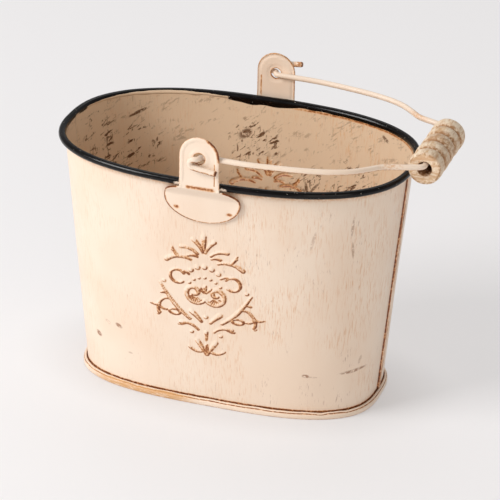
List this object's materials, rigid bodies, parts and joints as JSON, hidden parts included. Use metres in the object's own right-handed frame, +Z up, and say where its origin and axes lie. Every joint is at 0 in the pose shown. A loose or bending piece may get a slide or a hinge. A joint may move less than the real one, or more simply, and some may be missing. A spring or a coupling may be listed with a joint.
{
  "type": "florist bucket",
  "caption": "Oval tin bucket with embossed walls, a wired rim, a seamed foot, side ears and a swinging wire bail with a turned wooden grip.",
  "frame": {"origin": "middle of the oval, on the surface that the foot stands on", "axes": "+X along the oval towards the end that the bail lies over at rest, -Y to the embossed front, +Z up"},
  "size_m": [0.2477, 0.151, 0.1893],
  "materials": {
    "wall_enamel": "cream enamel with brown patina in the embossing, satin",
    "rim_enamel": "gloss black enamel on the rolled rim",
    "bottom_enamel": "cream enamel, more worn and browned, satin",
    "ear_enamel": "cream enamel with worn, rusty edges",
    "wire_enamel": "cream enamel on steel wire, browned below",
    "bare_steel": "bare galvanised wire",
    "limed_wood": "limed, matt"
  },
  "bodies": {
    "bucket": {"front_wall": "wall_enamel", "rear_wall": "wall_enamel", "bottom_plate": "bottom_enamel", "rim_wire": "bare_steel", "front_ear": "ear_enamel", "rear_ear": "ear_enamel"},
    "bail": {"bail_wire": "wire_enamel"},
    "grip": {"bail_grip": "limed_wood"}
  },
  "joints": [
    {"name": "bail_swing", "type": "hinge", "parent": "bucket", "child": "bail", "pos_m": [0, 0, 0.1758], "axis": [0, -1, 0], "range_deg": [-7, 189]},
    {"name": "grip_turn", "type": "hinge", "parent": "bail", "child": "grip", "pos_m": [0.12494, 0, 0.17137], "axis": [0, 1, 0], "continuous": true}
  ]
}
